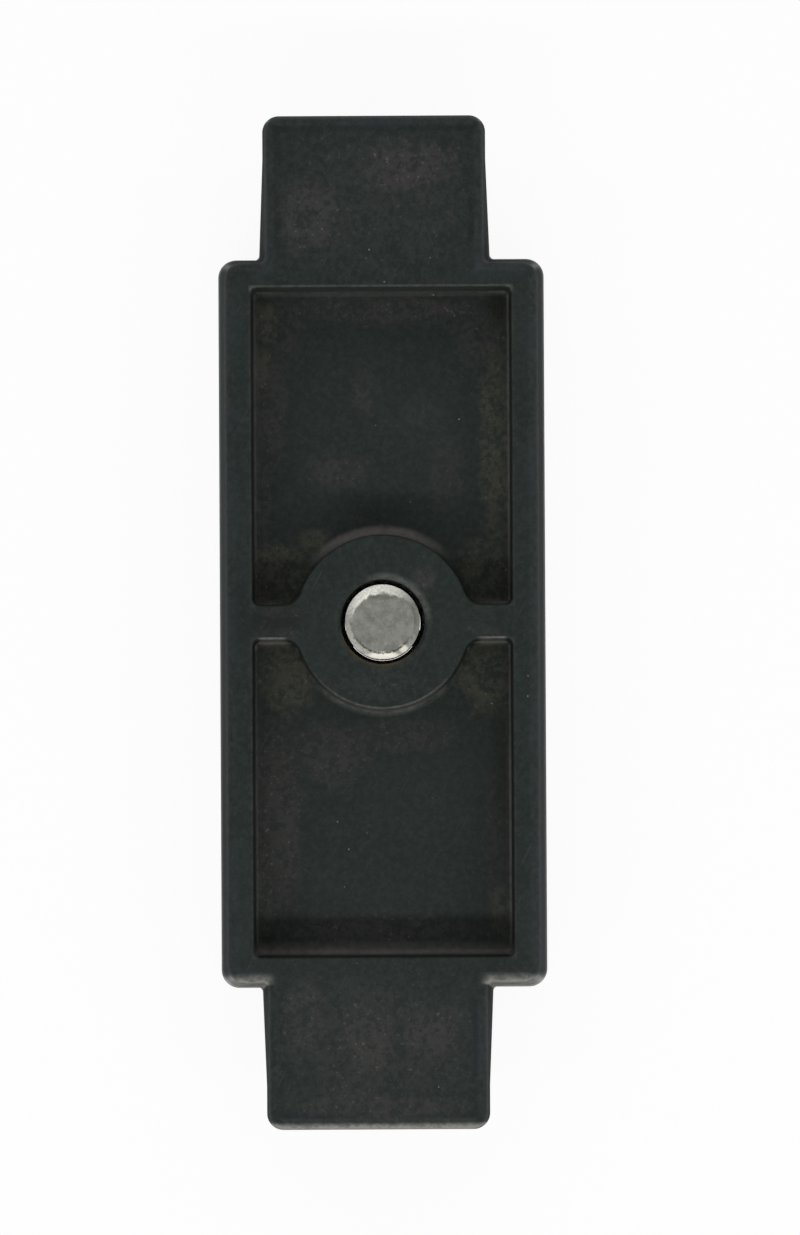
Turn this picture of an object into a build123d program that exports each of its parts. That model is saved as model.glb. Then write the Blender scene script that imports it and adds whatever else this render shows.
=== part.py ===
from build123d import *
import os
from math import asin, cos, pi, radians, sin, sqrt, tan

# Tilt latch: a cast latch bar with a tongue at each end and a sprung steel bolt through its middle.
# +Z comes out of the cored front face, +Y runs along the bar and the origin is under the bolt's nose.
# Lengths are in millimetres and angles in degrees.

# Latch bar, outside
overall_length = 86.2
body_length = 62.3
body_width = 27.9
body_depth = 10.5
body_corner = 1.55
tongue_width = 19.0
tongue_tip_depth = 3.6
tongue_land = 4.3
tongue_foot_rise = 1.2
tongue_corner = 1.4
tongue_offset = -0.55
shoulder_fillet = 0.4
draft = 3.6
front_round = 1.0
back_round = 0.4

# Latch bar, cored front
side_rim = 2.26
end_rim = 2.1
rib_width = 2.9
pocket_depth = 6.6
core_draft = 1.2
pocket_corner = 0.6
pocket_floor_fillet = 0.5
pocket_mouth_round = 0.2
boss_diameter = 14.8
boss_rib_fillet = 1.5
front_bore_diameter = 7.15
front_bore_chamfer = 0.25
front_wall = 2.2

# Bolt
bolt_diameter = 6.35
bolt_length = 12.7
bolt_nose_radius = 4.5
bolt_nose_blend = 0.5
bolt_bevel_width = 0.5
bolt_bevel_height = 0.25
nose_standout = 2.3
groove_diameter = 4.0
groove_play = 0.04

# Retaining clip and thrust washer
clip_diameter = 9.3
clip_thickness = 0.7
clip_inner_diameter = 6.6
clip_mouth = 3.6
clip_tab_width = 1.5
clip_tab_angles = (90, 205, 335)
clip_grip_clearance = 0.02
washer_diameter = 10.2
washer_thickness = 0.5
washer_bore_clearance = 0.1

# Spring
spring_wire = 0.6
spring_mean_diameter = 8.8
spring_turns = 3.5
spring_end_clearance = 0.02
chamber_diameter = 11.0

# Guide plate and its screws
plate_length = 23.0
plate_width = 13.6
plate_thickness = 1.8
plate_fit_clearance = 0.12
bolt_running_clearance = 0.05
screw_spacing = 17.8
screw_diameter = 2.0
screw_length = 5.0
screw_head_diameter = 3.8
screw_countersink = 90
screw_clearance = 0.1
thread_clearance = 0.02
tapped_hole_extra = 0.6
cross_recess_width = 0.5
cross_recess_length = 2.0
cross_recess_depth = 0.7

# Levels along Z, from the nose tip up
back_z = nose_standout
front_z = back_z + body_depth
chamber_top_z = front_z - front_wall
plate_top_z = back_z + plate_thickness
clip_top_z = plate_top_z + clip_thickness
washer_top_z = clip_top_z + washer_thickness

# Sizes that follow
slope = tan(radians(draft))
bolt_radius = bolt_diameter / 2
boss_radius = boss_diameter / 2
spread = 2 * body_depth * slope
pocket_width = body_width - spread - 2 * side_rim
pocket_reach = (body_length - spread) / 2 - end_rim
spring_length = chamber_top_z - washer_top_z
past = 1.0


def tapered_block(width, length, low_z, high_z, offset_x=0.0):
    """A block as wide and long as given at high_z, whose sides lean out with the draft towards low_z."""
    depth = high_z - low_z
    base = Plane.XY.offset(low_z) * Pos(offset_x, 0) * Rectangle(
        width + 2 * depth * slope, length + 2 * depth * slope
    )
    return extrude(base, amount=depth, taper=draft)


def standing_edges(solid):
    """The edges that climb from the back of a tapered block to its front."""
    return solid.edges().filter_by(lambda edge: abs(edge.tangent_at(0.5).Z) > 0.7)


def latch_frame():
    """The frame round the pockets, before it is cored."""
    block = tapered_block(body_width - spread, body_length - spread, back_z, front_z)
    return fillet(standing_edges(block), body_corner)


def tongue_bar():
    """Both tongues as one bar, level with the front and as deep as the frame."""
    tip_spread = 2 * tongue_tip_depth * slope
    bar = tapered_block(
        tongue_width - tip_spread, overall_length - tip_spread, back_z, front_z, tongue_offset
    )
    return fillet(standing_edges(bar), tongue_corner)


def ramp_cut():
    """The tool that takes the underside off the upper tongue: a foot, a ramp and a thin land at the tip."""
    ramp_foot = body_length / 2
    ramp_head = overall_length / 2 - tongue_land
    foot_z = back_z + tongue_foot_rise
    tip_z = front_z - tongue_tip_depth
    profile = Plane.YZ * Polyline(
        (0, foot_z),
        (ramp_foot, foot_z),
        (ramp_head, tip_z),
        (overall_length, tip_z),
        (overall_length, back_z - past),
        (0, back_z - past),
        close=True,
    )
    return extrude(make_face(profile), amount=body_width, both=True) - latch_frame()


def outer_form():
    """Frame and tongues in one piece, with their shoulders and their edges rounded."""
    form = latch_frame() + tongue_bar()
    form = fillet(shoulder_edges(form), shoulder_fillet)
    front = form.faces().sort_by(Axis.Z)[-1]
    form = fillet(front.outer_wire().edges(), front_round)
    upper = ramp_cut()
    form = form - upper - mirror(upper, about=Plane.XZ)
    back = form.faces().sort_by(Axis.Z)[0]
    form = fillet(back.outer_wire().edges(), back_round)
    return fillet(land_edges(form), back_round)


def shoulder_edges(form):
    """The four standing edges in the corners between the frame's ends and the tongues."""
    half_tongue = tongue_width / 2
    shoulder = body_width / 2 - half_tongue

    def in_corner(edge):
        at_end = abs(abs(edge.center().Y) - body_length / 2) < past
        by_tongue = abs(abs(edge.center().X - tongue_offset) - half_tongue) < shoulder / 2
        return at_end and by_tongue

    return standing_edges(form).filter_by(in_corner)


def land_edges(form):
    """The outer edges of the flat lands under the tongues' tips."""
    land_start = overall_length / 2 - tongue_land
    under = form.faces().filter_by(lambda face: face.normal_at().Z < -0.3)
    rim = ShapeList()
    for edge in under.edges():
        across = abs(edge.tangent_at(0.5).X) > 0.9
        at_tip = abs(edge.center().Y) > overall_length / 2 - past
        on_land = abs(edge.center().Y) > land_start
        if on_land and (at_tip or not across):
            rim.append(edge)
    return rim


def pocket():
    """The tool that cores the upper pocket: a drafted well with the boss and the rib left standing."""
    half_rib = rib_width / 2
    outline = Rectangle(pocket_width, pocket_reach - half_rib, align=(Align.CENTER, Align.MIN))
    outline = Pos(0, half_rib) * outline - Circle(boss_radius)
    well = extrude(Plane.XY.offset(front_z) * outline, amount=-pocket_depth, taper=core_draft)
    near_boss = (boss_radius + pocket_width / 2) / 2
    by_boss = standing_edges(well).filter_by(lambda edge: abs(edge.center().X) < near_boss)
    well = fillet(by_boss, boss_rib_fillet)
    corners = standing_edges(well).filter_by(lambda edge: abs(edge.center().X) > near_boss)
    well = fillet(corners, pocket_corner)
    floor = well.faces().sort_by(Axis.Z)[0]
    return fillet(floor.outer_wire().edges(), pocket_floor_fillet)


def guide_plate_recess():
    """The tool for the shallow recess in the back that the guide plate lies in."""
    clearance = 2 * plate_fit_clearance
    outline = SlotOverall(plate_length + clearance, plate_width + clearance)
    return extrude(Plane.XY.offset(back_z - past) * outline, amount=plate_thickness + past)


def screw_places():
    """The two screws lie across the bar, under the ribs."""
    return Locations((-screw_spacing / 2, 0), (screw_spacing / 2, 0))


def upright(radius, low_z, high_z):
    """A round bar on the bolt's axis."""
    return extrude(Plane.XY.offset(low_z) * Circle(radius), amount=high_z - low_z)


def latch_body():
    """The cast latch bar, cored from the front and bored from the back."""
    bar = outer_form()
    well = pocket()
    bar = bar - well - mirror(well, about=Plane.XZ)
    mouths = bar.faces().sort_by(Axis.Z)[-1].inner_wires()
    bar = fillet(ShapeList([edge for wire in mouths for edge in wire.edges()]), pocket_mouth_round)
    bar -= upright(front_bore_diameter / 2, back_z - past, front_z + past)
    bore_rim = bar.faces().sort_by(Axis.Z)[-1].edges().filter_by(
        lambda edge: edge.geom_type == GeomType.CIRCLE and edge.radius < bolt_diameter
    )
    bar = chamfer(bore_rim, front_bore_chamfer)
    bar -= upright(chamber_diameter / 2, back_z - past, chamber_top_z)
    bar -= guide_plate_recess()
    hole_depth = screw_length - plate_thickness + tapped_hole_extra
    hole_radius = screw_diameter / 2 + thread_clearance
    for place in screw_places().locations:
        bar -= place * upright(hole_radius, plate_top_z - past, plate_top_z + hole_depth)
    return bar


def bolt_pin():
    """The bolt: a steel pin with a domed nose, a clip groove and a bevelled butt."""
    dome_height = bolt_nose_radius - sqrt(bolt_nose_radius**2 - bolt_radius**2)
    half_angle = asin(bolt_radius / bolt_nose_radius) / 2
    on_dome = (
        bolt_nose_radius * sin(half_angle),
        bolt_nose_radius * (1 - cos(half_angle)),
    )
    groove_low = plate_top_z - groove_play / 2
    groove_high = clip_top_z + groove_play / 2
    outline = ThreePointArc((0, 0), on_dome, (bolt_radius, dome_height)) + Polyline(
        (bolt_radius, dome_height),
        (bolt_radius, groove_low),
        (groove_diameter / 2, groove_low),
        (groove_diameter / 2, groove_high),
        (bolt_radius, groove_high),
        (bolt_radius, bolt_length - bolt_bevel_height),
        (bolt_radius - bolt_bevel_width, bolt_length),
        (0, bolt_length),
        (0, 0),
    )
    pin = revolve(Plane.XZ * make_face(outline), axis=Axis.Z)
    shoulder = pin.edges().filter_by(lambda edge: edge.is_closed).sort_by(Axis.Z)[0]
    return fillet(shoulder, bolt_nose_blend)


def retaining_clip():
    """The open clip that snaps into the bolt's groove on three tabs."""
    grip_radius = groove_diameter / 2 + clip_grip_clearance
    outer = Circle(clip_diameter / 2)
    hollow = Circle(clip_inner_diameter / 2)
    tab_length = clip_diameter / 2
    for angle in clip_tab_angles:
        hollow -= Rot(0, 0, angle) * Rectangle(
            tab_length, clip_tab_width, align=(Align.MIN, Align.CENTER)
        )
    mouth = Rectangle(clip_mouth, clip_diameter, align=(Align.CENTER, Align.MAX))
    outline = outer - hollow - Circle(grip_radius) - mouth
    return extrude(Plane.XY.offset(plate_top_z) * outline, amount=clip_thickness)


def thrust_washer():
    """The flat washer between clip and spring."""
    ring = Circle(washer_diameter / 2) - Circle(bolt_radius + washer_bore_clearance)
    return extrude(Plane.XY.offset(clip_top_z) * ring, amount=washer_thickness)


def spring_point(turn, low_z, rise):
    """A point of the spring's wire and its direction there, after so many turns."""
    angle = 2 * pi * turn
    radius = spring_mean_diameter / 2
    point = Vector(radius * cos(angle), radius * sin(angle), low_z + rise * turn)
    along = Vector(-sin(angle), cos(angle), rise / (2 * pi * radius)).normalized()
    return point, along


def biarc(start, start_way, end, end_way):
    """Two arcs from start to end that keep both directions and meet smoothly."""
    chord = end - start
    total = start_way + end_way
    lack = 2 * (1 - start_way.dot(end_way))
    across = chord.dot(total)
    reach = (sqrt(across**2 + lack * chord.dot(chord)) - across) / lack
    leave = start + start_way * reach
    arrive = end - end_way * reach
    middle = (leave + arrive) * 0.5
    return [TangentArc(start, middle, tangent=start_way), TangentArc(middle, end, tangent=arrive - leave)]


def bolt_spring():
    """The spring: one wire wound round the bolt, from the thrust washer to the front wall."""
    seat = spring_wire / 2 + spring_end_clearance
    low_z = washer_top_z + seat
    rise = (spring_length - 2 * seat) / spring_turns
    stations = [spring_point(quarter / 4, low_z, rise) for quarter in range(round(spring_turns * 4) + 1)]
    path = []
    for (start, start_way), (end, end_way) in zip(stations, stations[1:]):
        path += biarc(start, start_way, end, end_way)
    line = Wire(path)
    print("spring's least gap to itself", round(wire_gap(line), 3))
    start, start_way = stations[0]
    section = Plane(origin=start, z_dir=start_way) * Circle(spring_wire / 2)
    return sweep(section, path=line)


def wire_gap(line):
    """The least gap between neighbouring turns of the spring's wire, measured on points along its line."""
    count = round(spring_turns * 60)
    points = [line.position_at(step / count) for step in range(count + 1)]
    apart = round(count / spring_turns / 2)
    gaps = [
        (points[j] - points[i]).length - spring_wire
        for i in range(count + 1)
        for j in range(i + apart, count + 1)
    ]
    return min(gaps)


def guide_plate():
    """The plate that closes the spring's chamber and guides the bolt, flush with the bar's back."""
    outline = SlotOverall(plate_length, plate_width) - Circle(bolt_radius + bolt_running_clearance)
    plate = extrude(Plane.XY.offset(back_z) * outline, amount=plate_thickness)
    for place in screw_places().locations:
        plate -= place * upright(screw_diameter / 2 + screw_clearance, back_z - past, plate_top_z + past)
        plate -= place * countersink(screw_clearance)
    return plate


def countersink(clearance):
    """A cone that opens to the back, as wide there as a screw's head and its clearance."""
    wide = screw_head_diameter / 2 + clearance
    depth = wide / tan(radians(screw_countersink / 2))
    cone = Cone(wide, 0, depth, align=(Align.CENTER, Align.CENTER, Align.MIN))
    return Pos(0, 0, back_z) * cone


def cross_recess():
    """The cross that a driver fits, sunk into a screw's head."""
    depth = cross_recess_depth + past
    blade = Box(cross_recess_length, cross_recess_width, depth)
    return Pos(0, 0, back_z + cross_recess_depth - depth / 2) * (blade + Rot(0, 0, 90) * blade)


def plate_screws():
    """Two countersunk screws, one solid each."""
    shank = upright(screw_diameter / 2, back_z + past, back_z + screw_length)
    screw = countersink(0) + shank - cross_recess()
    return [place * screw for place in screw_places().locations]


def save(name, *solids):
    """Writes one node, a single solid or a group of them, to its own file."""
    node = solids[0] if len(solids) == 1 else Compound(children=solids)
    node.label = name
    export_step(node, f"parts/{name}.step")
    print(name, "volume", round(sum(solid.volume for solid in solids), 1))


if __name__ == "__main__":
    os.makedirs("parts", exist_ok=True)
    save("latch_body", latch_body())
    save("bolt_pin", bolt_pin())
    save("bolt_retaining_clip", retaining_clip())
    save("thrust_washer", thrust_washer())
    save("bolt_spring", bolt_spring())
    save("guide_plate", guide_plate())
    save("plate_screws", *plate_screws())
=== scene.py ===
# %% [markdown]
# A tilt latch: a cast black bar with a thin tongue at each end and a bright steel bolt through its middle.
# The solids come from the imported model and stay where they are. This file gives them their finishes,
# builds the spring and the two screws again as finer meshes, and lights it all for a camera that looks
# straight down on the bar, as the reference picture does.

# %% Load the frame
from math import cos, pi, radians, sin, tan
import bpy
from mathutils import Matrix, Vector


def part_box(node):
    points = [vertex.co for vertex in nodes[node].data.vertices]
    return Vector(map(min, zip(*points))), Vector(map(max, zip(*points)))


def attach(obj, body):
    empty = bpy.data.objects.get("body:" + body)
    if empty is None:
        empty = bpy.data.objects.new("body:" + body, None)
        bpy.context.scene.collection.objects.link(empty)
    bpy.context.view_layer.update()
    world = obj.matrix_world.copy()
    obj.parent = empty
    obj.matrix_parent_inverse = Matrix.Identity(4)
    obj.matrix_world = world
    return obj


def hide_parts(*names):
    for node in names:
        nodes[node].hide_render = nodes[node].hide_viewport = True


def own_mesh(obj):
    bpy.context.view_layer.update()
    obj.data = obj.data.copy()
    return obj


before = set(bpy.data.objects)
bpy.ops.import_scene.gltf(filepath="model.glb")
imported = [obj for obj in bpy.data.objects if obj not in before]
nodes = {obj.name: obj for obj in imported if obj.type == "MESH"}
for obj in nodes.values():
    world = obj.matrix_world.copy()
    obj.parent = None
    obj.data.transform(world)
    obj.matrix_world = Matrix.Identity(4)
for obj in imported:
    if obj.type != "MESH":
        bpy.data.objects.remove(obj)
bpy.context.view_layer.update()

from types import SimpleNamespace

import bmesh
import bpy
from mathutils import Matrix, Vector

# %% [markdown]
# The levels of the latch are read back from the frame, so that patterns and new pieces follow the solids.
# The frame is in metres. Small parts are easier to think of in millimetres, so one name turns one into the
# other. Up is towards the eye: the cored front face is the highest level and the bolt's nose the lowest.

# %% Landmarks on the bar
mm = 0.001
bar_low, bar_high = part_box("latch_body")
pin_low, pin_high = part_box("bolt_pin")
washer_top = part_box("thrust_washer")[1].z / mm
front_z = bar_high.z / mm
back_z = bar_low.z / mm
butt_z = pin_high.z / mm
bolt_radius = (pin_high.x - pin_low.x) / 2 / mm
print("bar", [round(v / mm, 2) for v in bar_high - bar_low], "bolt radius", round(bolt_radius, 3))

# %% [markdown]
# The camera looks down on the front, a little from the lower end of the bar, from far enough away that
# the two ends are almost the same size. Its sensor covers the long side of the frame, so the focal length
# follows from the height of the field and the distance.

# %% Camera
picture_pixels = (800, 1235)
pixel_size = 0.0847 * mm
camera_distance = 1.0
camera_elevation = 89.3
camera_roll = -0.3
bore_pixel = (383.3, 621.8)

field_height = picture_pixels[1] * pixel_size
shift_x = (picture_pixels[0] / 2 - bore_pixel[0]) * pixel_size
shift_y = (bore_pixel[1] - picture_pixels[1] / 2) * pixel_size
target = Vector((shift_x, shift_y, bar_high.z))
lean = radians(camera_elevation)
back = Vector((0, -cos(lean), sin(lean)))

camera_data = bpy.data.cameras.new("camera")
camera_data.lens = camera_data.sensor_width * camera_distance / field_height
camera = bpy.data.objects.new("camera", camera_data)
camera.location = target + back * camera_distance
camera.rotation_euler = (pi / 2 - lean, 0, radians(camera_roll))
bpy.context.scene.collection.objects.link(camera)
bpy.context.scene.camera = camera
print("lens", round(camera_data.lens, 1), "mm")

# %% [markdown]
# A material is a small machine of nodes. Wrapping a socket in a class lets Python's own signs do the sums,
# so a mask reads as a formula. Anything that isn't a sum comes from one method that makes any node. The
# steps from 0 to 1 that every mask is cut with are named ramp, fall and band.

# %% Signal
class Signal:
    """A number, colour or vector that changes over a surface."""

    def __init__(self, shader, socket):
        self.shader = shader
        self.socket = socket

    def maths(self, operation, *terms):
        return self.shader.node("ShaderNodeMath", {"operation": operation}, dict(enumerate(terms)))

    def __add__(self, other):
        return self.maths("ADD", self, other)

    def __sub__(self, other):
        return self.maths("SUBTRACT", self, other)

    def __rsub__(self, other):
        return self.maths("SUBTRACT", other, self)

    def __mul__(self, other):
        return self.maths("MULTIPLY", self, other)

    def __truediv__(self, other):
        return self.maths("DIVIDE", self, other)

    def __pow__(self, other):
        return self.maths("POWER", self, other)

    def __abs__(self):
        return self.maths("ABSOLUTE", self)

    __radd__ = __add__
    __rmul__ = __mul__

    def pick(self, operation, others):
        picked = self
        for other in others:
            picked = self.maths(operation, picked, other)
        return picked

    def least(self, *others):
        return self.pick("MINIMUM", others)

    def most(self, *others):
        return self.pick("MAXIMUM", others)

    def ramp(self, start, end):
        """0 up to start, 1 past end, and a smooth step between them."""
        sockets = {"Value": self, "From Min": start, "From Max": end}
        return self.shader.node("ShaderNodeMapRange", {"interpolation_type": "SMOOTHSTEP"}, sockets)

    def fall(self, start, end):
        """1 up to start, 0 past end."""
        return 1 - self.ramp(start, end)

    def band(self, start, full, fading, end):
        """1 between full and fading, 0 before start and past end."""
        return self.ramp(start, full) * self.fall(fading, end)


# %% Shader
class Shader:
    """A material whose nodes are made by calls. Its x, y and z are the point's place in millimetres."""

    def __init__(self, name):
        self.material = bpy.data.materials.new(name)
        self.material.use_nodes = True
        self.tree = self.material.node_tree
        self.tree.nodes.clear()
        self.place = self.node("ShaderNodeTexCoord", {}, {}, "Object")
        self.x, self.y, self.z = (
            self.node("ShaderNodeSeparateXYZ", {}, {0: self.place}, axis) * (1 / mm) for axis in "XYZ"
        )

    def node(self, kind, settings, sockets, out=0):
        """Makes any node: its settings first, then the values or links of its sockets."""
        made = self.tree.nodes.new(kind)
        for name, value in settings.items():
            setattr(made, name, value)
        for name, value in sockets.items():
            if isinstance(value, Signal):
                self.tree.links.new(value.socket, made.inputs[name])
            else:
                made.inputs[name].default_value = value
        return Signal(self, made.outputs[out]) if made.outputs else None

    def radius(self):
        """How far the point is from the bolt's axis, in millimetres."""
        return (self.x * self.x + self.y * self.y) ** 0.5

    def towards(self, degrees):
        """1 straight out from the bolt's axis at that angle from +X, 0 at right angles to it, -1 behind."""
        angle = radians(degrees)
        return (self.x * cos(angle) + self.y * sin(angle)) / self.radius().most(0.01)

    def grain(self, size, detail=3.0, roughness=0.55, seed=0.0, place=None):
        """Cloudy noise whose lumps are about as wide as size, in millimetres."""
        sockets = {
            "Vector": place or self.place, "Scale": 1 / (size * mm), "Detail": detail,
            "Roughness": roughness, "W": seed,
        }
        return self.node("ShaderNodeTexNoise", {"noise_dimensions": "4D"}, sockets)

    def hairlines(self, degrees, width, length, seed):
        """Noise drawn out into fine lines at that angle to the bar, for scratches."""
        stretch = (length / width, 1, 1)
        sockets = {"Vector": self.place, "Rotation": (0, 0, radians(degrees)), "Scale": stretch}
        drawn = self.node("ShaderNodeMapping", {"vector_type": "TEXTURE"}, sockets)
        return self.grain(width, 1.0, 0.5, seed, drawn)

    def specks(self, spacing, size):
        """1 on small scattered dots of about that radius, in millimetres."""
        near = self.node("ShaderNodeTexVoronoi", {}, {"Vector": self.place, "Scale": 1 / (spacing * mm)})
        return (near * spacing).fall(size * 0.6, size)

    def blend(self, mask, low, high):
        """One colour turning into another where the mask rises."""
        sockets = {0: mask, 6: low, 7: high}
        return self.node("ShaderNodeMix", {"data_type": "RGBA"}, sockets, 2)

    def bump(self, height, distance, strength):
        sockets = {"Height": height, "Distance": distance, "Strength": strength}
        return self.node("ShaderNodeBump", {}, sockets)

    def finish(self, **sockets):
        """The surface itself. A keyword such as base_color names the socket Base Color."""
        titles = {key: key.replace("_", " ").title().replace("Ior", "IOR") for key in sockets}
        named = {titles[key]: value for key, value in sockets.items()}
        surface = self.node("ShaderNodeBsdfPrincipled", {}, named)
        self.node("ShaderNodeOutputMaterial", {}, {"Surface": surface})
        print("material", self.material.name, "nodes", len(self.tree.nodes))
        return self.material


# %% [markdown]
# Colours are written as a screen shows them, which is how they are measured in a picture. A shader works
# in light, so each is turned once. Wear is laid on like coats of paint: each coat has a mask and a colour.

# %% Colours, coats and dressing
def colour(red, green, blue):
    """A colour as a screen shows it, 0 to 255, turned into the light that a shader works in."""
    shares = [(channel / 255 + 0.055) / 1.055 for channel in (red, green, blue)]
    return (*[share**2.4 for share in shares], 1.0)


def layered(s, base, *coats):
    """Lays colours over the base one after another, each where its mask says."""
    for mask, tint in coats:
        base = s.blend(mask, base, colour(*tint))
    return base


def dress(name, material):
    """Gives a solid's object its finish."""
    slots = nodes[name].data.materials
    slots.clear()
    slots.append(material)
    for face in nodes[name].data.polygons:
        face.material_index = 0


# %% [markdown]
# The casting is near black with a trace of green, satin, and dulled by use. Dust, dirt, rubbed edges and
# the painted light and shade each get a mask. A mask can be painted by hand on a UV map, but here most of
# them follow the shape, so they are worked out from the point's own place: how deep it is, and how far it
# is from a wall or an edge.

# %% Where the casting's walls and edges are at the front, in millimetres
pocket_half_width = 11.03
pocket_end = 28.39
pocket_floor = 6.6
rib_half = 1.45
boss_radius = 7.4
bore_radius = 3.575
frame_half_width = 13.29
frame_half_length = 30.49
tongue_half_width = 9.27
tongue_half_length = 42.87
tongue_offset = -0.55
side_slope = tan(radians(3.6))
body_depth = front_z - back_z
print("casting", round(body_depth, 2), "mm deep, pockets", pocket_floor, "mm")


def casting_shape(s):
    """Distances in millimetres and regions from 0 to 1, for the casting's masks to be made from."""
    across, along, radius = abs(s.x), abs(s.y), s.radius()
    depth = front_z - s.z
    to_wall = (pocket_half_width - across).least(pocket_end - along, along - rib_half, radius - boss_radius)
    in_pocket = depth.band(0.2, 0.6, pocket_floor + 0.6, pocket_floor + 1.0) * to_wall.ramp(-0.2, 0.1)
    flare = depth * side_slope
    beside_tongue = abs(s.x - tongue_offset)
    in_frame = (flare + frame_half_width - across).least(flare + frame_half_length - along)
    in_tongue = (flare + tongue_half_width - beside_tongue).least(flare + tongue_half_length - along)
    to_edge = in_frame.most(in_tongue)
    return SimpleNamespace(
        depth=depth, radius=radius, flare=flare, beside_tongue=beside_tongue,
        to_wall=to_wall, to_edge=to_edge, in_pocket=in_pocket,
        on_side=to_edge.fall(0.1, 0.4) * depth.ramp(0.5, 1.0),
        from_front=depth.fall(0.05, 0.3).most(in_pocket),
        from_back=depth.ramp(body_depth - 0.3, body_depth - 0.05),
    )


# %% [markdown]
# Paint over a casting isn't one colour. Three sizes of noise laid over each other keep it from looking
# like plastic: slow clouds where the coat is thicker, small blotches, and the fine grit of the cast skin.

# %% Paint
def paint_colour(s, clouds, blotches, grit):
    """Black with a trace of green, a little uneven."""
    return layered(
        s, s.blend(clouds.ramp(0.3, 0.7), colour(23, 32, 30), colour(29, 38, 35)),
        (blotches.ramp(0.36, 0.68) * 0.8, (40, 48, 45)),
        (grit.ramp(0.5, 0.75) * 0.6, (18, 25, 23)),
    )


# %% [markdown]
# Dust lies thickest where hands and sashes touch. Each smudge is an ellipse given by its centre and its
# half sizes across and along the bar. One Vector Math node scales the space so that the ellipse becomes a
# circle of radius 1, a second measures the distance, and noise eats into its rim.

# %% Smudges: centre x, y, half size across and along, strength
dust_on_tongues = [
    (-0.5, 36.2, 9.6, 7.5, 0.25), (2.2, 38.6, 4.8, 2.8, 0.9), (-6.0, 34.6, 3.2, 3.8, 0.8),
    (4.4, 34.4, 3.0, 2.0, 0.4), (-0.5, -36.2, 9.6, 8.0, 0.35), (-6.7, -33.4, 2.4, 4.0, 0.6),
    (-1.4, -35.3, 2.8, 4.0, 0.8), (3.8, -35.0, 2.9, 2.4, 0.8), (-0.5, -41.0, 8.6, 1.4, 0.6),
]
dust_in_upper_pocket = [
    (0.0, 26.7, 10.8, 1.3, 0.8), (-8.6, 25.4, 2.4, 3.0, 0.7), (8.4, 24.8, 2.6, 3.6, 0.6),
    (-9.6, 19.0, 1.8, 6.0, 0.6), (-10.3, 9.0, 1.0, 8.0, 0.5), (-1.3, 19.8, 1.2, 2.2, 0.5),
    (3.2, 17.8, 2.0, 1.2, 0.4), (-3.6, 12.9, 3.2, 1.7, 0.5), (5.4, 13.0, 1.6, 4.0, 0.3),
]
dust_on_boss_and_rib = [
    (3.6, 3.6, 1.3, 1.1, 0.7), (0.0, -5.4, 5.0, 1.6, 0.25), (-8.7, 0.9, 2.4, 0.6, 0.35),
    (-8.4, -0.9, 1.8, 0.5, 0.35), (8.6, -0.7, 1.8, 0.6, 0.25),
]
dust_in_lower_pocket = [
    (-9.0, -16.5, 2.2, 9.8, 1.0), (-4.4, -11.0, 4.0, 3.0, 0.7), (1.4, -9.7, 5.4, 1.7, 0.6),
    (9.7, -19.0, 1.3, 8.0, 0.3), (0.0, -26.2, 10.4, 1.6, 0.7),
]
pink_dust = dust_on_tongues + dust_in_upper_pocket + dust_on_boss_and_rib + dust_in_lower_pocket
# Pale dirt; the two spots just above the rib, at x -8.9 and 8.9, are partly painted light that lifts the
# shade there.
pale_dirt_and_painted_light = [
    (9.6, 15.0, 1.5, 11.8, 0.8), (8.8, 4.6, 2.6, 3.0, 0.8), (-8.6, 4.4, 2.8, 3.2, 0.9),
    (-5.9, 7.0, 1.8, 1.2, 0.8), (-9.9, 25.7, 1.2, 2.4, 0.7), (-10.2, 22.0, 0.9, 2.6, 0.6),
    (-8.2, -4.6, 2.8, 3.4, 1.0), (8.6, -4.8, 2.6, 3.6, 1.0), (9.9, -25.0, 1.0, 3.0, 0.6),
    (-10.2, -24.0, 0.9, 3.6, 0.5), (-8.9, 2.0, 2.4, 1.5, 0.9), (8.9, 2.0, 2.4, 1.5, 0.7),
    (-8.9, -2.4, 2.2, 1.4, 0.6), (8.9, -2.4, 2.2, 1.4, 0.5),
]
# Painted shade, dark brown: the upper pocket's top right corner, the lower pocket's bottom left corner and
# the foot of its right wall.
corner_shade = [(9.9, 26.9, 1.4, 1.4, 0.7), (-10.2, -27.4, 1.0, 1.0, 0.6), (9.9, -13.0, 0.9, 6.0, 0.4)]
# Painted shade at the left end of the rib and at the outer edge beside it; the third spot makes the lower
# rim a little darker.
darker_spots = [(-9.0, 0.3, 3.2, 1.7, 1.0), (-12.0, 0.5, 1.2, 3.5, 0.6), (0.0, -29.5, 11.0, 1.3, 0.25)]
print("smudges", len(pink_dust + pale_dirt_and_painted_light + corner_shade + darker_spots))


def smudged(s, smudges, ragged):
    """The strongest of the smudges at this point."""
    spots = []
    for x, y, across, along, strength in smudges:
        scale, shift = (1 / (across * mm), 1 / (along * mm), 0), (-x / across, -y / along, 0)
        sockets = {0: s.place, 1: scale, 2: shift}
        inside = s.node("ShaderNodeVectorMath", {"operation": "MULTIPLY_ADD"}, sockets)
        reach = s.node("ShaderNodeVectorMath", {"operation": "LENGTH"}, {0: inside}, "Value")
        spots.append((reach + ragged).fall(0.5, 1.15) * strength)
    return spots[0].most(*spots[1:])
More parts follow.
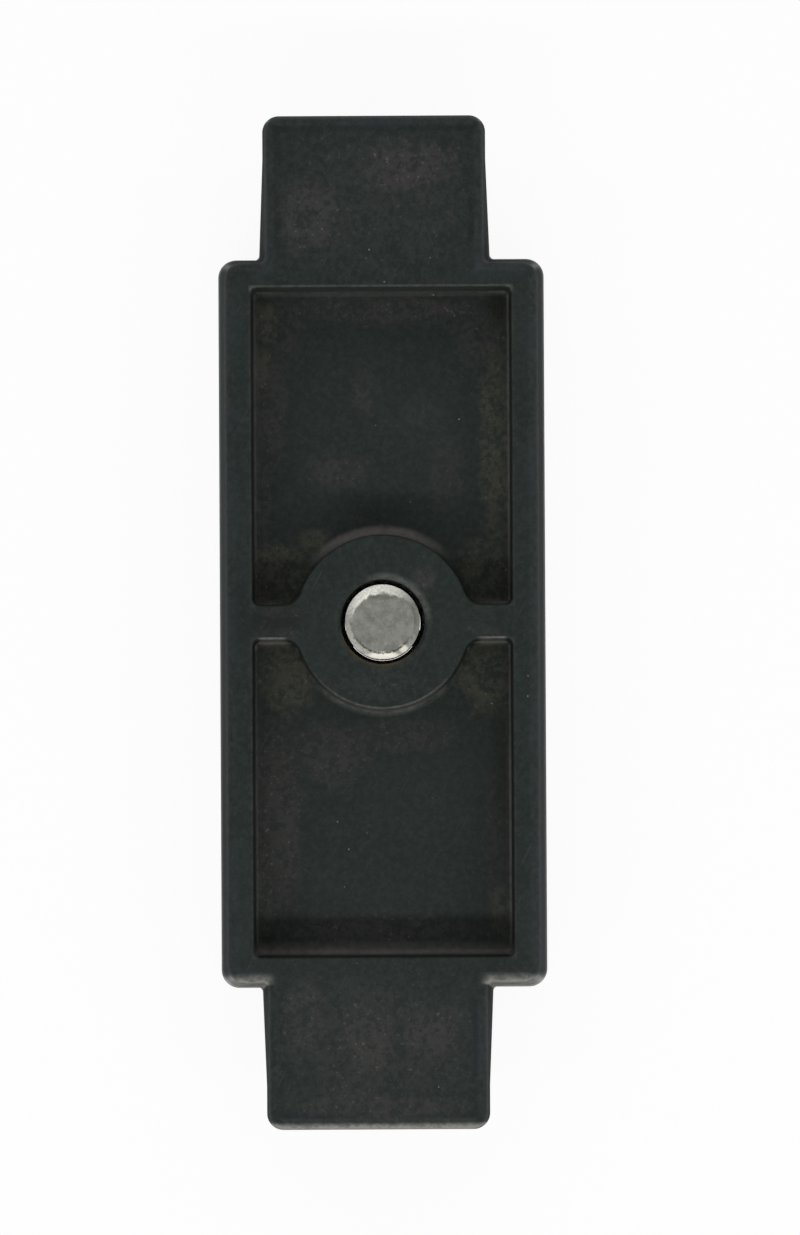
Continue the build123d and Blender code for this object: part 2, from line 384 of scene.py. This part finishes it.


# %% [markdown]
# Dust gathers where a floor meets a wall, out of reach of a cloth, in a thin line round the floors. Above
# the boss and at the foot of the lowest wall the pale band is partly dust, which falls there when the bar
# hangs upright, and partly painted highlight on the fillets that face the upper end. A band of distances
# from the wall finds the corner, and noise breaks the line up.

# %% Dust and painted highlight by the walls
def wall_dirt_and_highlight(s, at, blotches, fine):
    """A thin line of dust in the corner round each floor, and a wide pale band of dust and painted
    highlight above the boss and on the lowest wall.
    """
    broken = blotches.ramp(0.35, 0.6) * 0.25 + fine.ramp(0.35, 0.6) * 0.25 + 0.5
    on_floor = at.depth.ramp(pocket_floor - 1.4, pocket_floor - 0.8) * at.in_pocket
    below_rib = s.y.band(-2.6, -2.2, -1.4, -1.0)
    by_side = abs(s.x).ramp(8.0, 10.0) * 0.35 + s.x.ramp(8.0, 10.5) * 0.35 + 0.15
    foot_line = at.to_wall.band(0.04, 0.14, 0.22, 0.42) * on_floor * by_side.most(below_rib)
    dust_and_highlight_above_boss = (at.radius - boss_radius).band(-0.05, 0.1, 0.6, 1.1) * s.towards(94).ramp(0.6, 0.95)
    dust_and_highlight_at_heel = (s.y + pocket_end).band(0.05, 0.2, 0.3, 1.5) * 0.8
    return foot_line.most(dust_and_highlight_above_boss.most(dust_and_highlight_at_heel) * at.in_pocket) * broken


# %% [markdown]
# The lips of the pockets that face the lower end, a crescent on the bore's rim and the sides of the bar get
# a painted grey highlight. The outer edges are worn grey, most of all at the lower end, where they also
# carry a painted highlight. The rounded outer edges are the only places where the distance to the side and
# the depth are both less than the rounding, so their sum finds the crest.

# %% Painted highlights on the lips
def lip_highlights(s, at, patches):
    """Painted highlight on the pockets' mouths and the tops of their walls that face the lower lamp: under
    the rib and boss, at the top, faintly at the sides.
    """
    under_ribs = s.y.band(-2.3, -1.9, -1.3, -1.0) * abs(s.x).band(7.9, 8.7, 10.2, 10.7)
    under_boss = s.towards(-90).ramp(0.55, 0.9) * at.radius.fall(8.0, 8.4) * patches
    side_lips = abs(s.x).ramp(10.6, 10.9) * 0.05
    top_lip = s.y.ramp(27.6, 28.2) * 0.2
    top_wall = s.y.ramp(27.0, 28.0) * 0.12
    lip = at.to_wall.band(-0.26, -0.08, 0.03, 0.15) * at.depth.fall(0.2, 0.6)
    wall = at.to_wall.band(-0.1, 0.0, 0.1, 0.6) * at.depth.ramp(0.1, 0.3) * at.in_pocket
    lips = lip * side_lips.most(under_ribs * 0.6, under_boss * 0.42, top_lip)
    return lips.most(wall * top_wall.most(under_ribs * 0.5, under_boss * 0.5))


# %% Worn and lit outer edges
def worn_and_lit_edges(s, at, patches):
    """Painted highlight on the front crest and low on the sides, wear on the back edge, and both on the
    shoulders and the tip at the lower end.
    """
    crest = (at.to_edge + at.depth).fall(0.5, 1.0) * (s.x.ramp(7.0, 9.0) * 0.03 + 0.03)
    sole = at.on_side * at.depth.ramp(6.5, 9.5) * 0.6 * patches
    back_edge = at.depth.ramp(body_depth - 0.6, body_depth - 0.2) * at.to_edge.fall(0.2, 0.6) * 0.2
    above_end = s.y + frame_half_length
    shoulder = above_end.fall(-0.3, 0.9) * (above_end + at.flare).ramp(-0.3, -0.1)
    shoulder = shoulder * at.beside_tongue.ramp(8.6, 9.6) * 1.4
    tip = (s.y + tongue_half_length).fall(-0.1, 0.6) * 1.5
    thinning = at.depth.fall(0.8, 3.0) * 0.35 + at.depth.ramp(7.0, 9.5) * 0.5 + 0.65
    return crest.most(sole, back_edge, shoulder.most(tip) * thinning * patches * 1.2)


# %% All that is rubbed or lit
def bore_highlight(s, at):
    """A painted highlight: a pale crescent on the bore's rim."""
    crescent = s.towards(55).ramp(0.4, 0.95) * 0.3 + 0.03
    return (at.radius - bore_radius).band(0.0, 0.1, 0.2, 0.8) * at.depth.fall(0.3, 0.8) * crescent


def rubbed_and_lit(s, at, blotches, fine):
    """Grey where the coat is worn through, and the painted highlights, broken up by the grain of the
    casting.
    """
    patches = blotches.ramp(0.35, 0.6) * 0.5 + 0.5
    bare_and_lit = lip_highlights(s, at, patches).most(worn_and_lit_edges(s, at, patches), bore_highlight(s, at))
    return (bare_and_lit * (fine.ramp(0.3, 0.65) * 0.5 + 0.5)).least(1.0)


# %% [markdown]
# A painted line of shade runs beside the rounding of the tongues, a painted bluish sheen lies on the outer
# edges, and a little rust has crept out of the bore. With them the casting's coats are complete, from the
# paint up to the bare grey and the painted highlights, so that dust lies on paint and wear cuts through
# both. Dust and the pale bands also make the satin duller.

# %% Scratches, flecks and rust
def scratches(s, at):
    """Two sets of hairlines, faint at the front and clearer on the back, which rubs on the frame."""
    one_way = s.hairlines(62, 0.09, 5.0, 5.0).ramp(0.7, 0.78)
    other_way = s.hairlines(-35, 0.08, 4.0, 6.0).ramp(0.72, 0.8)
    return one_way.most(other_way) * (at.from_front * 0.25).most(at.from_back * 0.5)


def bore_rust(s, at):
    near_bore = (at.radius - bore_radius).fall(0.1, 0.3) * at.depth.fall(0.2, 0.6)
    return near_bore * s.towards(-105).ramp(0.3, 0.85)


# Painted shade: a dark line just inside the rounding of the tongues, where the surface starts to turn away.
def tongue_shade_line(s, at):
    on_tongues = abs(s.y).ramp(31.0, 33.0)
    return abs(at.to_edge - 1.05).fall(0.1, 0.4) * on_tongues * at.depth.fall(0.3, 0.8)


# %% Black casting
def black_casting():
    s = Shader("black_casting")
    at = casting_shape(s)
    clouds = s.grain(8, 3.0, 0.6, 1.0)
    blotches = s.grain(1.8, 6.0, 0.7, 2.0)
    fine = s.grain(0.45, 4.0, 0.65, 3.0)
    grit = s.grain(0.16, 2.0, 0.6, 4.0)

    ragged = (blotches - 0.5) * 2.2
    mottle = (blotches + fine).ramp(0.86, 1.1) * 0.75 + 0.25
    # Painted reflection: a faint bluish sheen on the rounded outer edges.
    blue_sheen = at.to_edge.fall(0.7, 1.5) * clouds.ramp(0.46, 0.6)
    dust = smudged(s, pink_dust, ragged) * at.from_front * mottle
    beige_and_painted_light = smudged(s, pale_dirt_and_painted_light, ragged) * at.in_pocket * mottle
    dirt_and_highlight = wall_dirt_and_highlight(s, at, blotches, fine)
    flecks = s.grain(0.3, 2.0, 0.6, 8.0).ramp(0.62, 0.7) * (dust.most(beige_and_painted_light) + 0.12).least(1.0)
    dots = s.specks(1.6, 0.09) * blotches.ramp(0.48, 0.6)
    wear_and_highlight = rubbed_and_lit(s, at, blotches, fine)

    base = layered(
        s, paint_colour(s, clouds, fine, grit),
        (at.in_pocket * 0.05, (70, 70, 64)),
        # Painted shade at the rib's left end, and the lower rim a little darker.
        (smudged(s, darker_spots, clouds - 0.5) * at.from_front * 0.7, (16, 21, 19)),
        (tongue_shade_line(s, at) * clouds.ramp(0.35, 0.5) * 0.45, (14, 18, 19)),
        (blue_sheen * 0.35, (38, 42, 53)),
        (at.from_back * blotches.ramp(0.42, 0.65) * 0.5, (56, 55, 52)),
        (dust * 0.85, (63, 60, 60)),
        # Pale dirt, partly painted light beside the rib.
        (beige_and_painted_light * 0.85, (75, 75, 65)),
        # Painted shade in the pockets' corners.
        (smudged(s, corner_shade, ragged) * at.in_pocket * 0.7, (27, 26, 18)),
        # Dust by the walls, with painted highlight above the boss and at the lowest wall.
        (dirt_and_highlight, (100, 97, 94)),
        (flecks * at.from_front * 0.6, (103, 98, 98)),
        (dots * at.from_front * 0.6, (150, 147, 140)),
        (scratches(s, at), (84, 84, 80)),
        (bore_rust(s, at) * blotches.ramp(0.3, 0.5) * 0.7, (84, 70, 44)),
        # Worn grey, and painted highlights on the lips, the bore's rim and the edges.
        (wear_and_highlight, (138, 137, 131)),
    )
    height = s.bump(grit + fine * 2 + blotches * 3, 0.02 * mm, 0.6)
    rough = 0.5 + clouds * 0.1 + dust.most(beige_and_painted_light, dirt_and_highlight) * 0.2 - wear_and_highlight * 0.1
    rough = rough + at.on_side * (at.depth.fall(5.0, 9.0) * 0.25 + 0.2)
    return s.finish(base_color=base, roughness=rough, specular_ior_level=0.2, normal=height)


dress("latch_body", black_casting())

# %% [markdown]
# The bolt is ground steel. Its butt has gone dull and mottled. The bevel round it carries a painted
# highlight, widest at the top and again in two bright spots at the bottom, with a thin dark line inside it
# there. The domed nose is polished where it slides, and fine rings round the shank are left from grinding.

# %% Bolt steel
dull_radius = 2.86
crease_radius = 2.62
olive_stain = [(0.1, 2.1, 1.5, 0.25, 0.5)]
# Painted highlights: two bright spots on the bevel at the bottom.
bottom_glints = [(0.0, -2.85, 1.7, 0.34, 1.0), (1.8, -2.3, 0.45, 0.4, 0.8)]


def butt_colour(s, clouds, fine):
    """The dull face, the painted highlight on the bevel round it and a thin dark line between them."""
    chips = (s.grain(0.5, 4.0, 0.65, 3.0) - 0.5) * 0.9
    crown = s.towards(104).ramp(0.2, 1.0)
    widening = crown * 0.45 + s.towards(215).ramp(0.0, 0.8) * 0.1
    bevel = (s.radius() + chips + widening - dull_radius).ramp(-0.14, 0.16)
    shine = crown * 0.72 + s.towards(170).ramp(0.0, 1.0) * 0.35 + 0.15
    crease = abs(s.radius() + chips * 0.5 - crease_radius).fall(0.03, 0.13) * s.towards(268).ramp(0.4, 0.75)
    return layered(
        s, s.blend(clouds.ramp(0.3, 0.7), colour(122, 124, 117), colour(150, 150, 143)),
        (fine.ramp(0.45, 0.75) * 0.5, (166, 166, 158)),
        (smudged(s, olive_stain, chips), (106, 106, 88)),
        # Painted highlight on the bevel, brightest towards the top.
        (bevel * shine * (fine.ramp(0.25, 0.65) * 0.5 + 0.5), (252, 251, 242)),
        (smudged(s, bottom_glints, chips), (246, 243, 230)),
        (crease * fine.ramp(0.35, 0.55) * 0.85, (56, 53, 44)),
    )


def bolt_steel():
    s = Shader("bolt_steel")
    clouds = s.grain(0.9, 4.0, 0.6, 1.0)
    fine = s.grain(0.2, 3.0, 0.6, 2.0)
    drawn = s.node("ShaderNodeMapping", {}, {"Vector": s.place, "Scale": (0.02, 0.02, 1)})
    rings = s.grain(0.12, 2.0, 0.5, 4.0, drawn)
    polished = s.z.fall(0.25, 0.9)
    shank = s.blend(rings.ramp(0.4, 0.65), colour(126, 126, 124), colour(170, 169, 164))
    shank = s.blend(polished, shank, colour(196, 195, 188))
    base = s.blend(s.z.ramp(butt_z - 0.5, butt_z - 0.35), shank, butt_colour(s, clouds, fine))
    height = s.bump(fine + clouds * 2, 0.02 * mm, 0.5)
    rough = 0.42 + clouds * 0.2 - polished * 0.15
    return s.finish(base_color=base, metallic=0.85, roughness=rough, normal=height)


dress("bolt_pin", bolt_steel())

# %% [markdown]
# The small steel parts have two finishes. Spring wire and the clip are dark, oiled and drawn smooth. The
# washer, the plate and the screws are zinc plated: pale, faintly blue and yellow in patches, with fine
# scratches and with grime round the screw heads and in the bolt's gap.

# %% Spring steel
def spring_steel():
    s = Shader("spring_steel")
    clouds = s.grain(0.8, 3.0, 0.6, 1.0)
    fine = s.grain(0.12, 2.0, 0.6, 2.0)
    base = s.blend(clouds.ramp(0.3, 0.7), colour(84, 84, 88), colour(128, 127, 124))
    base = s.blend(fine.ramp(0.55, 0.75) * 0.5, base, colour(60, 52, 42))
    return s.finish(base_color=base, metallic=0.95, roughness=0.3 + clouds * 0.2)


# %% Zinc plate
screw_reach = 8.9
screw_seat_radius = 1.95


def zinc_plate():
    s = Shader("zinc_plate")
    clouds = s.grain(2.2, 4.0, 0.6, 1.0)
    fine = s.grain(0.3, 4.0, 0.65, 2.0)
    one_way = s.hairlines(24, 0.07, 4.0, 3.0).ramp(0.68, 0.76)
    other_way = s.hairlines(-50, 0.07, 3.0, 4.0).ramp(0.7, 0.78)
    off_screw = abs(s.x) - screw_reach
    screw_gap = abs((off_screw * off_screw + s.y * s.y) ** 0.5 - screw_seat_radius).fall(0.05, 0.3)
    bolt_gap = (s.radius() - bolt_radius).fall(0.1, 0.6)
    grime = screw_gap.most(bolt_gap) * fine.ramp(0.3, 0.6)
    base = layered(
        s, s.blend(clouds.ramp(0.3, 0.7), colour(158, 163, 170), colour(190, 187, 174)),
        (fine.ramp(0.5, 0.75) * 0.5, (132, 132, 130)),
        (one_way.most(other_way) * 0.5, (212, 212, 208)),
        (grime * 0.8, (48, 44, 38)),
    )
    height = s.bump(fine + clouds, 0.02 * mm, 0.4)
    rough = 0.36 + clouds * 0.2 + grime * 0.2
    return s.finish(base_color=base, metallic=0.9, roughness=rough, normal=height)


spring_finish = spring_steel()
zinc_finish = zinc_plate()
dress("bolt_retaining_clip", spring_finish)
dress("thrust_washer", zinc_finish)
dress("guide_plate", zinc_finish)

# %% [markdown]
# New pieces are shaped by mesh operators and then become objects at the origin, like the solids. Points
# that fall together are merged before the faces are turned outwards, and edges sharper than the given
# angle stay sharp.

# %% From mesh to piece
merge_distance = 0.002 * mm


def new_piece(name, mesh, material, sharp_degrees, stands_for):
    """Turns a finished mesh into a piece that stands for a solid and rides on the bar."""
    bmesh.ops.remove_doubles(mesh, verts=mesh.verts, dist=merge_distance)
    bmesh.ops.recalc_face_normals(mesh, faces=mesh.faces)
    data = bpy.data.meshes.new(name)
    mesh.to_mesh(data)
    mesh.free()
    data.shade_smooth()
    data.set_sharp_from_angle(angle=radians(sharp_degrees))
    data.materials.append(material)
    piece = bpy.data.objects.new(name, data)
    bpy.context.scene.collection.objects.link(piece)
    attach(piece, "latch_bar")
    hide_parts(stands_for)
    heights = [vertex.co.z / mm for vertex in data.vertices]
    print(name, "faces", len(data.polygons), "height", round(max(heights) - min(heights), 2), "mm")
    return piece


def wind(mesh, geometry, turns, climb, steps):
    """Winds edges round the Z axis by so many turns while they climb, and returns where they end."""
    count = round(turns * steps)
    made = bmesh.ops.spin(
        mesh, geom=geometry, cent=(0, 0, 0), axis=(0, 0, 1), dvec=(0, 0, climb / count),
        angle=turns * 2 * pi, steps=count,
    )
    return made["geom_last"]


# %% [markdown]
# Behind the boss a small compression spring pushes the bolt out. Real ones are coiled from wire with the
# last part of a turn laid close at each end, so that they stand square. A curve with a round bevel would
# do, but a circle that is spun round the axis while it climbs gives the wire as a mesh at once, and each
# stretch of the coil is one more spin with its own climb.

# %% Bolt spring
wire_radius = 0.3
coil_radius = 4.4
spring_clearance = 0.02
chamber_top = 10.6
closed_turns, closed_climb = 0.75, 0.47
open_turns = 2.0
wire_sides, steps_per_turn = 20, 64

spring_low = washer_top + spring_clearance + wire_radius
spring_high = chamber_top - spring_clearance - wire_radius
open_climb = spring_high - spring_low - 2 * closed_climb

wire = bmesh.new()
start = Matrix.Translation((coil_radius * mm, 0, spring_low * mm)) @ Matrix.Rotation(pi / 2, 4, "X")
bmesh.ops.create_circle(wire, segments=wire_sides, radius=wire_radius * mm, matrix=start)
end = wire.verts[:] + wire.edges[:]
for turns, climb in ((closed_turns, closed_climb), (open_turns, open_climb), (closed_turns, closed_climb)):
    end = wind(wire, end, turns, climb * mm, steps_per_turn)
bmesh.ops.holes_fill(wire, edges=wire.edges[:], sides=0)
spring = new_piece("spring_wire", wire, spring_finish, 60, "bolt_spring")
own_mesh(spring)

# %% [markdown]
# Two small countersunk screws hold the guide plate. Such a screw is turned on a lathe, so its outline is
# spun once round: from the head's face down its cone, along the core and over the blunt tip. The face
# itself stays open for now, because the cross has to be let into it.

# %% Screw outline: radius and height, in millimetres
outline = [(1.8, 2.3), (1.87, 2.36), (1.0, 3.24), (0.8, 3.5), (0.8, 7.0), (0.5, 7.3), (0.0, 7.3)]
screw = bmesh.new()
corners = [screw.verts.new((r * mm, 0, z * mm)) for r, z in outline]
profile = [screw.edges.new(pair) for pair in zip(corners, corners[1:])]
bmesh.ops.spin(
    screw, geom=corners + profile, cent=(0, 0, 0), axis=(0, 0, 1), angle=2 * pi, steps=40, use_merge=True
)
bmesh.ops.remove_doubles(screw, verts=screw.verts, dist=merge_distance)
print("screw", len(screw.faces), "faces round")

# %% [markdown]
# A cross recess is pressed in with a tapered punch. It could be cut with a Boolean, but that leaves ragged
# faces. Here the cross starts as a small plus at the bottom of the recess: three by three squares with the
# corners taken away. Its rim is drawn up and out to the head's face, and one fill closes the face between
# the cross and the head's edge.

# %% Cross recess
cross_depth = 0.7
arm_half_width, arm_reach = 0.25, 1.0
narrowing = 0.6
plus = bmesh.ops.create_grid(screw, x_segments=3, y_segments=3, size=1.0)["verts"]
for vert in plus:
    for axis in (0, 1):
        reach = arm_reach if abs(vert.co[axis]) > 0.5 else arm_half_width
        vert.co[axis] = (reach if vert.co[axis] > 0 else -reach) * narrowing * mm
    vert.co.z = (back_z + cross_depth) * mm
corner_faces = [
    face for face in {face for vert in plus for face in vert.link_faces}
    if all(abs(c) > arm_half_width * narrowing * mm for c in face.calc_center_median()[:2])
]
bmesh.ops.delete(screw, geom=corner_faces, context="FACES")
above_face = (back_z + 0.1) * mm
rim = [edge for edge in screw.edges if edge.is_boundary and edge.verts[0].co.z > above_face]
drawn = bmesh.ops.extrude_edge_only(screw, edges=rim)["geom"]
drawn_verts = [item for item in drawn if isinstance(item, bmesh.types.BMVert)]
bmesh.ops.scale(screw, vec=(1 / narrowing, 1 / narrowing, 1), verts=drawn_verts)
bmesh.ops.translate(screw, vec=(0, 0, -cross_depth * mm), verts=drawn_verts)
gap = [edge for edge in screw.edges if edge.is_boundary]
bmesh.ops.triangle_fill(screw, use_beauty=True, use_dissolve=False, edges=gap, normal=(0, 0, -1))
print("cross recess", cross_depth, "mm deep,", 2 * arm_reach, "mm across")

# %% [markdown]
# The thread is a triangle wound up the core with its root sunk a little into the core, as a real one is
# rolled out of it. The finished screw is copied to the other side, and both become one piece, as their
# solids do.

# %% Screw thread and the second screw
thread_low, thread_high, pitch = 3.7, 6.8, 0.4
thread_root, thread_crest, ridge_half = 0.7, 1.0, 0.18
triangle = ((thread_root, -ridge_half), (thread_crest, 0.0), (thread_root, ridge_half))
ridge = [screw.verts.new((r * mm, 0, (thread_low + z) * mm)) for r, z in triangle]
ridge += [screw.edges.new(pair) for pair in zip(ridge, ridge[1:] + ridge[:1])]
thread_turns = (thread_high - thread_low) / pitch
wind(screw, ridge, thread_turns, (thread_high - thread_low) * mm, 24)
bmesh.ops.holes_fill(screw, edges=[edge for edge in screw.edges if edge.is_boundary], sides=3)
bmesh.ops.translate(screw, vec=(-screw_reach * mm, 0, 0), verts=screw.verts)
copy = bmesh.ops.duplicate(screw, geom=screw.verts[:] + screw.edges[:] + screw.faces[:])["geom"]
copied = [item for item in copy if isinstance(item, bmesh.types.BMVert)]
bmesh.ops.translate(screw, vec=(2 * screw_reach * mm, 0, 0), verts=copied)
new_piece("cross_head_screws", screw, zinc_finish, 35, "plate_screws")

# %% [markdown]
# The floor is white paper. What the camera sees of it is mostly its own colour, so that the background
# stays white, with a share of real lighting left in so that the bar still casts its shadow. Bright metal
# and glass see the same white, and only the light that falls on dull surfaces is left as it was.

# %% Floor
floor_half = 1.5
floor_own_light = 0.93
floor_mesh = bmesh.new()
bmesh.ops.create_grid(floor_mesh, x_segments=1, y_segments=1, size=floor_half)
floor_data = bpy.data.meshes.new("floor")
floor_mesh.to_mesh(floor_data)
floor_mesh.free()
floor = bpy.data.objects.new("floor", floor_data)
bpy.context.scene.collection.objects.link(floor)
print("floor", 2 * floor_half, "m wide")


def white_paper():
    s = Shader("white_paper")
    rays = ("Is Camera Ray", "Is Glossy Ray", "Is Transmission Ray")
    camera_ray, *other_rays = [s.node("ShaderNodeLightPath", {}, {}, ray) for ray in rays]
    seen = camera_ray.most(*other_rays)
    sheet = s.blend(s.grain(0.8, 3.0), colour(246, 246, 246), colour(250, 250, 250))
    paper = s.node("ShaderNodeBsdfPrincipled", {}, {"Base Color": sheet, "Roughness": 0.9})
    glow = s.node("ShaderNodeEmission", {}, {"Color": (1, 1, 1, 1), "Strength": 1.0})
    mixed = s.node("ShaderNodeMixShader", {}, {0: seen * floor_own_light, 1: paper, 2: glow})
    s.node("ShaderNodeOutputMaterial", {}, {"Surface": mixed})
    return s.material


floor_data.materials.append(white_paper())

# %% [markdown]
# The light is plain and soft: a bright strip below the bar, high up, which throws the short shadows in
# the pockets, a broader and weaker one above it, and an even sky. Together they add up to a level at
# which a colour shows about as it is written.

# %% Lamps
def soft_lamp(name, place, size_x, size_y, watts):
    """A square-cornered lamp that looks at the middle of the bar."""
    data = bpy.data.lights.new(name, "AREA")
    data.shape = "RECTANGLE"
    data.size, data.size_y = size_x, size_y
    data.energy = watts
    lamp = bpy.data.objects.new(name, data)
    lamp.location = place
    lamp.rotation_euler = (-Vector(place)).to_track_quat("-Z", "Y").to_euler()
    bpy.context.scene.collection.objects.link(lamp)
    level = watts * place[2] / Vector(place).length / (pi**2 * Vector(place).length_squared)
    print(name, "adds about", round(level, 2))


soft_lamp("lower_lamp", (0, -0.25, 0.43), 0.8, 0.05, 1.3)
soft_lamp("upper_lamp", (0, 0.40, 0.40), 0.8, 0.25, 0.7)

# %% Sky
sky_strength = 0.4
sky = bpy.data.worlds.new("sky")
sky.use_nodes = True
background = sky.node_tree.nodes["Background"]
background.inputs["Color"].default_value = (1, 1, 1, 1)
background.inputs["Strength"].default_value = sky_strength
bpy.context.scene.world = sky
bpy.context.scene.view_settings.view_transform = "Standard"
print("sky adds", sky_strength)
